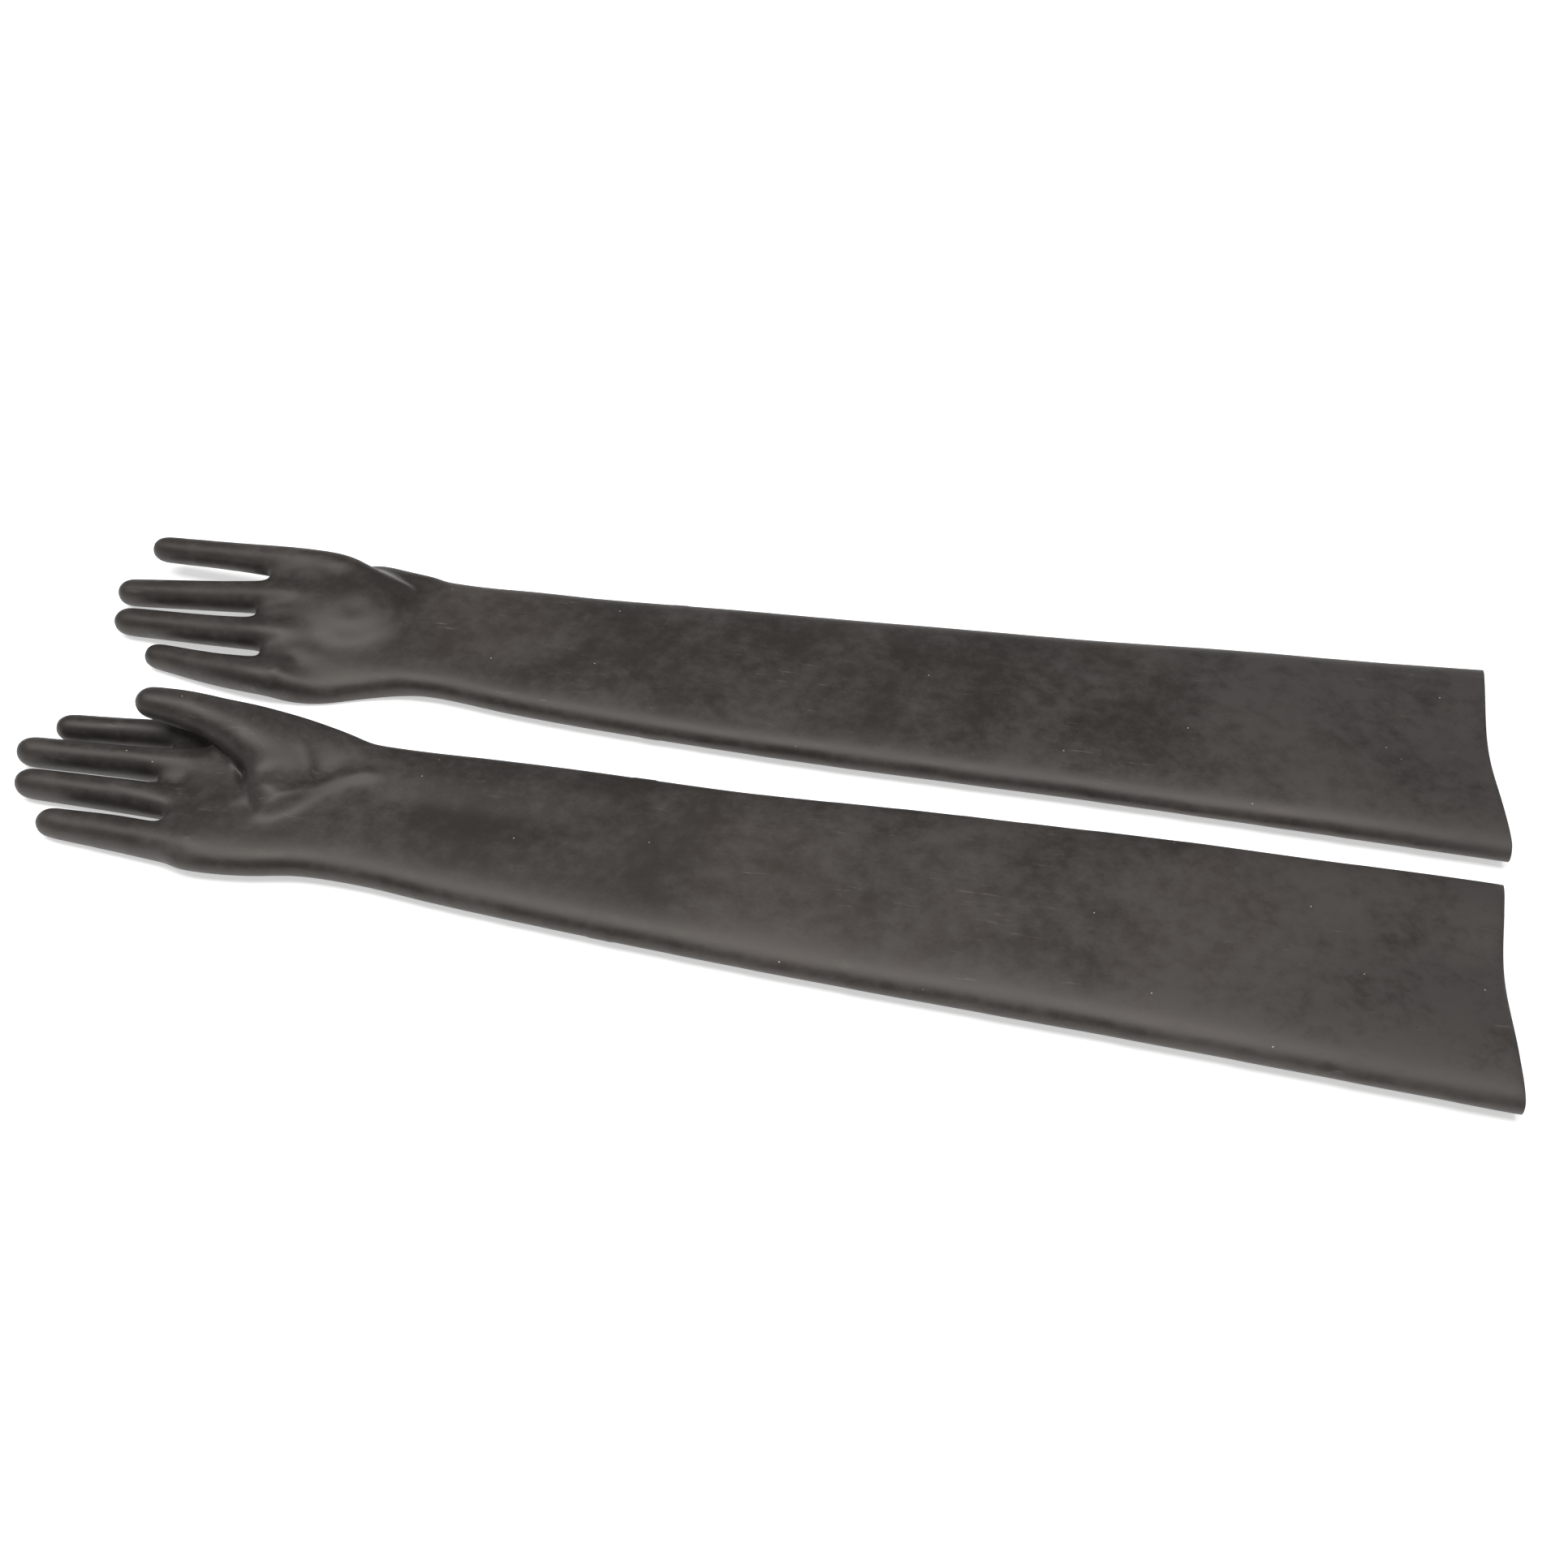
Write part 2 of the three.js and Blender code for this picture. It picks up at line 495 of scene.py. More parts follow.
@dataclass(frozen=True)
class FormerLine:
    """The faint band right round the sleeve where two dips of rubber overlap.

    Attributes:
        x: Its place along the glove.
        slant: How far it runs along the glove for each millimetre across.
        band: Its width.
        height: How far it stands up.
        slope: Width of the rise on each side of it.
    """

    x: float
    slant: float
    band: float
    height: float
    slope: float = 1.6

    def press(self, points: np.ndarray, normals: np.ndarray) -> None:
        """Lifts a thin band of the skin along its outward direction.

        Args:
            points: Places on the skin, changed in place.
            normals: Their outward directions.
        """
        off = points[:, 0] - (self.x + self.slant * points[:, 1])
        inner, outer = self.band / 2, self.band / 2 + self.slope
        rise = ease(off, -outer, -inner) * (1 - ease(off, inner, outer))
        points += (self.height * rise)[:, None] * normals


@dataclass(frozen=True)
class CuffBow:
    """The cuff's edge runs back a little at its middle and dishes in on top.

    Attributes:
        bow: How far the edge runs back.
        dish: How far the top dishes in.
        dish_y: The middle of the dish.
        cuff: Where the glove ends.
        reach: How far from there the bow fades out.
        half_width: Half the cuff's width.
        dish_width: Width of the dish.
    """

    bow: float
    dish: float
    dish_y: float = 0.0
    cuff: float = CUFF
    reach: float = 120.0
    half_width: float = 70.0
    dish_width: float = 32.0

    def press(self, points: np.ndarray, normals: np.ndarray) -> None:
        """Bows the end of the sleeve.

        Args:
            points: Places on the skin, changed in place.
            normals: Their outward directions.
        """
        near = ease(points[:, 0], self.cuff - self.reach, self.cuff)
        across = points[:, 1] / self.half_width
        points[:, 0] -= self.bow * near * np.clip(1 - across**2, 0.0, 1.0)
        top = ease(normals[:, 2], 0.0, 0.5)
        hollow = np.exp(-(((points[:, 1] - self.dish_y) / self.dish_width) ** 2))
        points[:, 2] -= self.dish * near * top * hollow


Mark = Swell | Fold | Slackness | FormerLine | CuffBow


# ---------------------------------------------------------------- finishes


def linear(hex_colour: str) -> tuple[float, float, float, float]:
    """A linear RGBA colour from an sRGB hex value such as '4a4543'."""
    parts = [int(hex_colour[i : i + 2], 16) / 255 for i in (0, 2, 4)]
    lin = [c / 12.92 if c <= 0.04045 else ((c + 0.055) / 1.055) ** 2.4 for c in parts]
    return (lin[0], lin[1], lin[2], 1.0)


def add_node(
    tree: bpy.types.NodeTree,
    kind: str,
    settings: dict[str, object] | None = None,
    inputs: dict[str | int, object] | None = None,
) -> bpy.types.Node:
    """Adds a node, sets its properties, and sets or links its inputs.

    Args:
        tree: The node tree to add to.
        kind: The node's type name.
        settings: Property values by name.
        inputs: Values, or sockets to link from, by input name or number.

    Returns:
        The new node.
    """
    node = tree.nodes.new(kind)
    for name, value in (settings or {}).items():
        setattr(node, name, value)
    for name, value in (inputs or {}).items():
        if isinstance(value, bpy.types.NodeSocket):
            tree.links.new(value, node.inputs[name])
        else:
            node.inputs[name].default_value = value
    return node


@dataclass(frozen=True)
class DippedRubber:
    """Black latex rubber dipped on a smooth former.

    Dipping leaves a satin skin with wide, soft highlights. A chalky film clouds it, more towards the cuff,
    and handling has scuffed it lightly along its length.

    Attributes:
        name: The material's name.
        black: Colour of the clean rubber.
        bloom: Colour of the chalky film that comes to the surface.
        brown: Colour where the film is thin and the rubber has aged.
        scuffed: Colour of a scuff.
        dust: Colour of a dust speck.
        cloud: Size of a bloom patch, in millimetres.
        aging: Size of an aged patch, in millimetres.
        scuff: Length of a scuff, in millimetres.
        rubbed: Size of a patch that has scuffs, in millimetres.
        speck: Spacing of the dust specks, in millimetres.
        grain: Size of the skin's fine grain, in millimetres.
        roughness: Roughness of a clean patch.
    """

    name: str = "black latex rubber, dipped"
    black: str = "1f1c1a"
    bloom: str = "4a4746"
    brown: str = "312a27"
    scuffed: str = "77716d"
    dust: str = "b9b4ae"
    cloud: float = 46.0
    aging: float = 190.0
    scuff: float = 26.0
    rubbed: float = 60.0
    speck: float = 17.0
    grain: float = 1.6
    roughness: float = 0.5

    def material(self) -> bpy.types.Material:
        """Builds the node material.

        Returns:
            The finished material.
        """
        made = bpy.data.materials.new(self.name)
        made.use_nodes = True
        tree = made.node_tree
        tree.nodes.clear()
        place = add_node(tree, "ShaderNodeTexCoord").outputs["Object"]
        along = add_node(tree, "ShaderNodeSeparateXYZ", inputs={"Vector": place}).outputs["X"]
        cloud = self._noise(tree, place, self.cloud, detail=5.0, rough=0.62)
        fine_cloud = self._noise(tree, place, self.cloud / 5, detail=6.0, rough=0.7)
        age = self._noise(tree, place, self.aging, detail=2.0, rough=0.5)
        scuffs = self._scuffs(tree, place)
        specks = self._specks(tree, place)

        patches = self._mix(tree, 0.45, cloud, fine_cloud)
        near_cuff = self._ramp(tree, along, 0.0, 0.36)
        lifted = add_node(
            tree,
            "ShaderNodeMath",
            {"operation": "MULTIPLY_ADD"},
            {0: near_cuff, 1: 0.13, 2: patches},
        )
        bloom_share = self._ramp(tree, lifted.outputs["Value"], 0.41, 0.7)
        age_share = self._ramp(tree, age, 0.5, 0.68)
        aged = self._blend(tree, age_share, linear(self.black), linear(self.brown), 0.8)
        bloomed = self._blend(tree, bloom_share, aged, linear(self.bloom), 0.5)
        scuffed = self._blend(tree, scuffs, bloomed, linear(self.scuffed), 0.35)
        colour = self._blend(tree, specks, scuffed, linear(self.dust), 0.8)

        gloss = add_node(
            tree,
            "ShaderNodeMapRange",
            inputs={
                "Value": patches,
                "From Min": 0.35,
                "From Max": 0.7,
                "To Min": self.roughness - 0.07,
                "To Max": self.roughness + 0.12,
            },
        ).outputs["Result"]
        grain = self._noise(tree, place, self.grain, detail=3.0, rough=0.6)
        surface = self._mix(tree, 0.3, grain, scuffs)
        bump = add_node(
            tree,
            "ShaderNodeBump",
            inputs={"Strength": 0.22, "Distance": 0.00022, "Height": surface},
        )
        shader = add_node(
            tree,
            "ShaderNodeBsdfPrincipled",
            inputs={
                "Base Color": colour,
                "Roughness": gloss,
                "Normal": bump.outputs["Normal"],
                "IOR": 1.52,
                "Metallic": 0.0,
                "Specular Tint": linear("fff7ef"),
            },
        )
        add_node(tree, "ShaderNodeOutputMaterial", inputs={"Surface": shader.outputs["BSDF"]})
        return made

    def _noise(
        self, tree: bpy.types.NodeTree, place: bpy.types.NodeSocket, size: float, detail: float, rough: float
    ) -> bpy.types.NodeSocket:
        """Cloudy noise whose patches measure size millimetres."""
        node = add_node(
            tree,
            "ShaderNodeTexNoise",
            inputs={"Vector": place, "Scale": 1.0 / (size * MM), "Detail": detail, "Roughness": rough},
        )
        return node.outputs["Fac"]

    def _scuffs(self, tree: bpy.types.NodeTree, place: bpy.types.NodeSocket) -> bpy.types.NodeSocket:
        """Thin pale scuffs that run mostly along the glove.

        Args:
            tree: The material's nodes.
            place: The coordinates to read.

        Returns:
            A share that is 1 on a scuff.
        """
        stretched = add_node(
            tree,
            "ShaderNodeMapping",
            inputs={"Vector": place, "Scale": (1.0, 9.0, 4.0), "Rotation": (0.0, 0.0, 0.12)},
        ).outputs["Vector"]
        streaks = self._noise(tree, stretched, self.scuff, detail=4.0, rough=0.75)
        where = self._noise(tree, place, self.rubbed, detail=2.0, rough=0.5)
        thin = self._ramp(tree, streaks, 0.6, 0.72)
        patchy = self._ramp(tree, where, 0.5, 0.62)
        return add_node(
            tree, "ShaderNodeMath", {"operation": "MULTIPLY"}, {0: thin, 1: patchy}
        ).outputs["Value"]

    def _specks(self, tree: bpy.types.NodeTree, place: bpy.types.NodeSocket) -> bpy.types.NodeSocket:
        """Sparse dust specks. Real ones are 0.2 mm across, and these are drawn 0.6 mm so that they show.

        Args:
            tree: The material's nodes.
            place: The coordinates to read.

        Returns:
            A share that is 1 on a speck.
        """
        cells = add_node(
            tree,
            "ShaderNodeTexVoronoi",
            {"feature": "F1"},
            {"Vector": place, "Scale": 1.0 / (self.speck * MM), "Randomness": 1.0},
        ).outputs["Distance"]
        return self._ramp(tree, cells, 0.028, 0.016)

    def _ramp(
        self, tree: bpy.types.NodeTree, value: bpy.types.NodeSocket, start: float, end: float
    ) -> bpy.types.NodeSocket:
        """A smooth share from 0 at start to 1 at end."""
        node = add_node(
            tree,
            "ShaderNodeMapRange",
            {"interpolation_type": "SMOOTHSTEP"},
            {"Value": value, "From Min": start, "From Max": end},
        )
        return node.outputs["Result"]

    def _mix(
        self, tree: bpy.types.NodeTree, share: float, a: bpy.types.NodeSocket, b: bpy.types.NodeSocket
    ) -> bpy.types.NodeSocket:
        """A weighted mean of two values."""
        node = add_node(tree, "ShaderNodeMix", {"data_type": "FLOAT"}, {0: share, 2: a, 3: b})
        return node.outputs[0]

    def _blend(
        self,
        tree: bpy.types.NodeTree,
        share: bpy.types.NodeSocket,
        under: bpy.types.NodeSocket | tuple[float, float, float, float],
        over: tuple[float, float, float, float],
        most: float,
    ) -> bpy.types.NodeSocket:
        """A colour laid over another where share is 1, at most to the given opacity."""
        opacity = add_node(tree, "ShaderNodeMath", {"operation": "MULTIPLY"}, {0: share, 1: most})
        node = add_node(
            tree,
            "ShaderNodeMix",
            {"data_type": "RGBA"},
            {0: opacity.outputs["Value"], 6: under, 7: over},
        )
        return node.outputs[2]


@dataclass(frozen=True)
class MattCard:
    """White card with a matt coating, which gives an even pale floor with no sheen.

    Attributes:
        name: The material's name.
        white: Its colour.
        glow: How much light it gives of its own, so that it stays white in the shade.
    """

    name: str = "white card, matt coated"
    white: str = "f4f4f4"
    glow: float = 0.5

    def material(self) -> bpy.types.Material:
        """Builds the node material.

        Returns:
            The finished material.
        """
        made = bpy.data.materials.new(self.name)
        made.use_nodes = True
        tree = made.node_tree
        tree.nodes.clear()
        shader = add_node(
            tree,
            "ShaderNodeBsdfPrincipled",
            inputs={
                "Base Color": linear(self.white),
                "Roughness": 0.9,
                "Specular IOR Level": 0.1,
                "Emission Color": linear("ffffff"),
                "Emission Strength": self.glow,
            },
        )
        add_node(tree, "ShaderNodeOutputMaterial", inputs={"Surface": shader.outputs["BSDF"]})
        return made


# ---------------------------------------------------------------- the gloves


@dataclass(frozen=True)
class Lie:
    """How a glove lies in the row frame, read from its wrist and elbow joints."""

    side: Side
    joints: dict[str, dict]

    def joint_place(self, name: str) -> Vector:
        """Where one of the glove's joints is, in the row frame, in metres."""
        return Vector(self.joints[f"{self.side.value}_{name}"]["pos_m"])

    @property
    def along(self) -> Vector:
        """Unit direction from the fingertips to the cuff."""
        run = self.joint_place("elbow_fold") - self.joint_place("wrist_bend")
        return run.normalized()

    def to_frame(self) -> Matrix:
        """The matrix from the glove's millimetres to the row frame's metres.

        Returns:
            A 4 by 4 matrix.
        """
        along = self.along
        turn = Matrix.Rotation(math.atan2(along.y, along.x), 4, "Z")
        wrist = self.joint_place("wrist_bend")
        origin = Vector((wrist.x, wrist.y, 0.0)) - along * (WRIST * MM)
        return Matrix.Translation(origin) @ turn @ Matrix.Scale(MM, 4)


@dataclass(frozen=True)
class Bend:
    """A bend of the skin between two bodies, about one joint."""

    joint: str
    still: str
    moving: str
    half_length: float


@dataclass
class Digit:
    """A finger or thumb.

    Attributes:
        name: Its name, which is also its body's.
        stall: Its shape.
        cut: Where it parts from the hand's piece.
        bend: The bend at its root or knuckle.
        bend_shift: How far the middle of the bend lies from the joint, towards the fingertips.
    """

    name: str
    stall: Stall
    cut: float
    bend: Bend
    bend_shift: float = 0.0


@dataclass
class Glove:
    """One seamless glove: solid shapes, the marks on its skin, and how it is divided.

    Attributes:
        side: Which hand it is for.
        lie: Where it lies.
        tubes: The sleeve and the flat of the hand, as one tube or more.
        digits: The thumb and four fingers.
        swellings: Other shapes of the hand: webs and the ball of the thumb.
        marks: Marks pressed before the last smoothing.
        late_marks: Crisp marks pressed after it.
        cuff: Where the glove ends.
        soft_from: Lowest corner of the box where the skin is smoothed further.
        soft_to: Highest corner of that box.
        soft_times: How often it is smoothed there.
        sleeve_cut: Where the sleeve's piece starts.
        wrist_bend: The bend at the wrist.
        elbow_bend: The bend at the elbow.
        smoothing: How often the whole skin is smoothed first.
        settling: How often it is smoothed after the marks.
    """

    side: Side
    lie: Lie
    tubes: list[SlackTube]
    digits: list[Digit]
    swellings: list[Stall | Mound]
    marks: list[Mark]
    late_marks: list[Mark] = field(default_factory=list)
    cuff: float = CUFF
    soft_from: Point = (0.0, 0.0, 0.0)
    soft_to: Point = (0.0, 0.0, 0.0)
    soft_times: int = 24
    sleeve_cut: float = 372.0
    wrist_bend: Bend = Bend("wrist_bend", "forearm", "palm", 20.0)
    elbow_bend: Bend = Bend("elbow_fold", "upper_sleeve", "forearm", 38.0)
    smoothing: int = 14
    settling: int = 4

    def build(self, rubber: bpy.types.Material) -> list[bpy.types.Object]:
        """Models the glove and returns its pieces.

        Args:
            rubber: The material of every piece.

        Returns:
            The finished pieces.
        """
        skin = self._sculpted(self._lump())
        pieces = []
        for digit in self.digits:
            self._cut_digit(skin, digit)
        bmesh.ops.bisect_plane(
            skin,
            geom=skin.verts[:] + skin.edges[:] + skin.faces[:],
            dist=SNAP,
            plane_co=(self.sleeve_cut, 0, 0),
            plane_no=(1, 0, 0),
            use_snap_center=True,
        )
        regions = self._regions(skin)
        for name, faces in regions.items():
            piece = self._piece(skin, f"{self.side.value}_{name}_skin", faces, rubber)
            pieces.append(piece)
        skin.free()
        self._attach(dict(zip(regions, pieces)))
        return pieces

    def _lump(self) -> bmesh.types.BMesh:
        """The outer surface as one closed, evenly divided mesh.

        Returns:
            A bmesh in the glove's millimetres, open to editing.
        """
        lump = bmesh.new()
        mesh = bpy.data.meshes.new("lump")
        for shape in [*self.tubes, *self.swellings, *(d.stall for d in self.digits)]:
            part = shape.build()
            part.to_mesh(mesh)
            part.free()
            lump.from_mesh(mesh)
        lump.to_mesh(mesh)
        lump.free()
        holder = bpy.data.objects.new("lump", mesh)
        bpy.context.scene.collection.objects.link(holder)
        remesh = holder.modifiers.new("even", "REMESH")
        remesh.mode = "VOXEL"
        remesh.voxel_size = VOXEL
        depsgraph = bpy.context.evaluated_depsgraph_get()
        even = bpy.data.meshes.new_from_object(holder.evaluated_get(depsgraph))
        bpy.data.objects.remove(holder)
        bpy.data.meshes.remove(mesh)
        made = bmesh.new()
        made.from_mesh(even)
        bpy.data.meshes.remove(even)
        return made

    def _sculpted(self, bm: bmesh.types.BMesh) -> bmesh.types.BMesh:
        """Smooths the lump, presses the marks into it and opens the cuff.

        Args:
            bm: The closed outer surface.

        Returns:
            The same mesh, open at the cuff.
        """
        relax(bm, bm.verts, self.smoothing)
        low, high = Vector(self.soft_from), Vector(self.soft_to)
        slack = [v for v in bm.verts if all(low[k] < v.co[k] < high[k] for k in range(3))]
        relax(bm, slack, self.soft_times)
        self._press(bm, self.marks)
        relax(bm, bm.verts, self.settling)
        self._press(bm, self.late_marks)
        bmesh.ops.bisect_plane(
            bm,
            geom=bm.verts[:] + bm.edges[:] + bm.faces[:],
            plane_co=(self.cuff, 0, 0),
            plane_no=(1, 0, 0),
            clear_outer=True,
        )
        # The cut is straight, so the end of the sleeve is bowed once more.
        self._press(bm, [m for m in self.late_marks if isinstance(m, CuffBow)])
        return bm

    def _press(self, bm: bmesh.types.BMesh, marks: list[Mark]) -> None:
        """Presses marks into the skin one after another, and keeps it above the surface.

        Args:
            bm: The skin.
            marks: Swells, folds and the like.
        """
        for mark in marks:
            bm.normal_update()
            points = np.array([v.co for v in bm.verts])
            normals = np.array([v.normal for v in bm.verts])
            mark.press(points, normals)
            points[:, 2] = np.maximum(points[:, 2], 0.0)
            for vert, place in zip(bm.verts, points):
                vert.co = place

    def _cut_digit(self, bm: bmesh.types.BMesh, digit: Digit) -> None:
        """Divides the faces that cross the line where a digit parts from the hand.

        Args:
            bm: The skin.
            digit: The digit to cut round.
        """
        _, y, z, radius, spread = digit.stall.beside(digit.cut)
        centre = Vector((digit.cut, y, z))
        reach = radius * max(1.0, spread) + CUT_MARGIN
        faces = [
            f
            for f in bm.faces
            if abs(f.calc_center_median().x - digit.cut) < CUT_LENGTH
            and (f.calc_center_median() - centre).yz.length < reach
        ]
        edges = {e for f in faces for e in f.edges}
        verts = {v for f in faces for v in f.verts}
        bmesh.ops.bisect_plane(
            bm,
            geom=[*verts, *edges, *faces],
            dist=SNAP,
            plane_co=(digit.cut, 0, 0),
            plane_no=(1, 0, 0),
            use_snap_center=True,
        )

    def _regions(self, bm: bmesh.types.BMesh) -> dict[str, list[int]]:
        """Which faces belong to each piece.

        Args:
            bm: The divided skin.

        Returns:
            Face numbers by piece name.
        """
        bm.faces.ensure_lookup_table()
        bm.faces.index_update()
        owner: dict[int, str] = {}
        for digit in self.digits:
            seed = min(bm.faces, key=lambda f: (f.calc_center_median() - digit.stall.tip).length)
            front = [seed]
            owner[seed.index] = digit.name
            while front:
                face = front.pop()
                for edge in face.edges:
                    for other in edge.link_faces:
                        centre = other.calc_center_median()
                        if other.index in owner or centre.x > digit.cut or not digit.stall.holds(centre):
                            continue
                        owner[other.index] = digit.name
                        front.append(other)
        regions: dict[str, list[int]] = {d.name: [] for d in self.digits}
        regions.update({"hand": [], "sleeve": []})
        for face in bm.faces:
            name = owner.get(face.index)
            if name is None:
                name = "sleeve" if face.calc_center_median().x > self.sleeve_cut else "hand"
            regions[name].append(face.index)
        return regions

    def _piece(
        self, skin: bmesh.types.BMesh, name: str, faces: list[int], rubber: bpy.types.Material
    ) -> bpy.types.Object:
        """Makes one piece of the skin, with its wall thickness, in the row frame.

        Args:
            skin: The whole outer surface.
            name: The piece's name.
            faces: The faces it takes.
            rubber: Its material.

        Returns:
            The new object.
        """
        bm = skin.copy()
        bm.faces.ensure_lookup_table()
        kept = set(faces)
        bmesh.ops.delete(bm, geom=[f for f in bm.faces if f.index not in kept], context="FACES")
        for face in bm.faces:
            face.smooth = True
        for edge in bm.edges:
            edge.smooth = not edge.is_boundary
        bmesh.ops.transform(bm, matrix=self.lie.to_frame(), verts=bm.verts)
        mesh = bpy.data.meshes.new(name)
        bm.to_mesh(mesh)
        bm.free()
        mesh.materials.append(rubber)
        piece = bpy.data.objects.new(name, mesh)
        bpy.context.scene.collection.objects.link(piece)
        wall = piece.modifiers.new("wall", "SOLIDIFY")
        wall.thickness = WALL * MM
        wall.offset = -1.0
        log.info("%s: %d faces", name, len(mesh.polygons))
        return piece

    def _attach(self, pieces: dict[str, bpy.types.Object]) -> None:
        """Bakes each piece's placement into its mesh and hides the CAD nodes it stands for.

        Args:
            pieces: The pieces by region name.
        """
        side = self.side.value
        self._bend(pieces["sleeve"], self.elbow_bend, 0.0)
        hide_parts(f"{side}_upper_sleeve", f"{side}_forearm")
        self._bend(pieces["hand"], self.wrist_bend, 0.0)
        bases = [f"{side}_{d.name}_base" for d in self.digits if d.name != "thumb"]
        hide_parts(f"{side}_palm", *bases)
        for digit in self.digits:
            self._bend(pieces[digit.name], digit.bend, digit.bend_shift)
            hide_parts(f"{side}_{digit.name}")

    def _bend(self, piece: bpy.types.Object, bend: Bend, shift: float) -> None:
        """Bakes a piece's placement into its mesh. The middle and reach of its bend are worked out but not
        used.

        Args:
            piece: The piece.
            bend: The joint, its bodies and how far the bend spreads.
            shift: How far the bend's middle lies from the joint towards the fingertips, in millimetres.
        """
        middle = self.lie.joint_place(bend.joint) - self.lie.along * (shift * MM)
        reach = self.lie.along * (bend.half_length * MM)
        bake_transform(piece)


def finger(name: str, cut: float, *knots: Knot) -> Digit:
    """A finger, with its bend at the middle knuckle.

    Args:
        name: The finger's name.
        cut: Where its piece starts.
        knots: Its shape, tip first.

    Returns:
        The finger.
    """
    return Digit(name, Stall(knots), cut, Bend(f"{name}_flex", "palm", name, 12.0))


def thumb(cut: float, *knots: Knot) -> Digit:
    """A thumb, with its bend at the joint where it opens from the palm.

    Args:
        cut: Where its piece starts.
        knots: Its shape, tip first.

    Returns:
        The thumb.
    """
    return Digit("thumb", Stall(knots), cut, Bend("thumb_open", "palm", "thumb", 14.0), bend_shift=26.0)


def right_glove(joints: dict[str, dict]) -> Glove:
    """The near glove: palm up, fingers on the surface, thumb standing over the palm.

    Args:
        joints: The part's joints by name.

    Returns:
        The glove, ready to build.
    """
    body = SlackTube(
        (
            Station(106, -49, 45, 1.5, 20),
            Station(116, -54.5, 48, 0, 21.5),
            Station(135, -56, 49, 0, 21.5),
            Station(158, -53.5, 49, 0, 20.5),
            Station(185, -48, 49.5, 0, 20.5),
            Station(215, -47.5, 49.5, 0, 20.5),
            Station(260, -51.5, 51.5, 0, 20.5),
            Station(400, -60, 55.5, 0, 20.5),
            Station(640, -67.5, 66.8, 0, 20.5),
            Station(806, -73.5, 69.5, 0, 20.5),
        ),
    )
    on_palm = Reach(low=-5, high=27)
    return Glove(
        side=Side.RIGHT,
        lie=Lie(Side.RIGHT, joints),
        tubes=[body],
        soft_from=(138.0, -16.0, 19.0),
        soft_to=(205.0, 40.0, 90.0),
        digits=[
            thumb(
                98.0,
                Knot(75.3, 31.5, 38.5, 8.6),
                Knot(97, 31.5, 36.3, 10.6),
                Knot(118, 29.5, 33, 11.8, 1.15),
                Knot(138, 25.5, 28.8, 15, 1.27),
                Knot(158, 27.2, 20, 15, 1.47),
                Knot(180, 34, 12.5, 12.5, 1.3),
                Knot(202, 34, 9.5, 9, 1.3),
            ),
            finger(
                "index_finger",
                64.0,
                Knot(19, 30.5, 8.6, 8.1, 0.95),
                Knot(66, 34.5, 9.3, 8.7, 0.92),
                Knot(112, 38, 10.8, 10.2),
            ),
            finger(
                "middle_finger",
                66.0,
                Knot(7.4, 8.5, 9, 8.7, 0.94),
                Knot(62, 11, 9.8, 9.4, 0.9),
                Knot(114, 13, 10.8, 10.4),
            ),
            finger(
                "ring_finger",
                70.0,
                Knot(17.8, -14, 8.8, 8.5, 0.95),
                Knot(68, -13.6, 9.8, 9.4, 0.95),
                Knot(118, -13, 10.8, 10.4),
            ),
            finger(
                "little_finger",
                82.0,
                Knot(42, -38, 7.9, 7.9),
                Knot(84, -39.6, 9.4, 9.3, 1.04),
                Knot(126, -42.5, 10.6, 10.4),
            ),
        ],
        swellings=[
            Stall((Knot(92, 24.5, 9, 6.5), Knot(125, 26, 11, 9))),
            Stall((Knot(94, 0.5, 9, 6.5), Knot(125, 1, 11, 9))),
            Stall((Knot(110, -26.5, 9.5, 6.5), Knot(130, -27, 11, 9))),
            Mound((157, 3.5, 13.5), (22, 25.5, 17.2)),
        ],
        marks=[
            Fold(
                ((94, 27), (112, 27), (121, 24), (130, 14), (139, 0), (147, -12), (153, -20)),
                3.0,
                -3.5,
                on_palm,
            ),
            Fold(((151, -23), (158, -20), (167, -12), (177, -2), (187, 9), (198, 17), (215, 22)), 4.2, 3.4),
            Swell(163, 6, 13, 11, -2.0, 20.0),
            Swell(158, -8, 14, 8, 2.2, 0.0),
            Fold(((163, 27), (171, 17), (175, 5), (172, -7)), 2.6, 0.9),
            Swell(112, -10, 30, 24, -3.5, 0.0, on_palm),
            Fold(((205, 22), (240, 26), (290, 30), (350, 33)), 11.0, 1.4),
            Fold(((205, 2), (240, 2), (290, 2), (340, 4)), 10.0, -1.2),
        ],
        late_marks=[
            Fold(((122, 17), (132, 6), (141, -6), (148, -17)), 3.2, 1.4, on_palm),
            Slackness(0.35, 0.6),
            FormerLine(350, -0.035, 11.0, 0.28),
            Swell(345.5, -26, 1.3, 5, -0.6, 0.0),
            Swell(354, -25, 1.3, 5, -0.6, 0.0),
            CuffBow(4.0, 3.0, 8.0),
        ],
    )


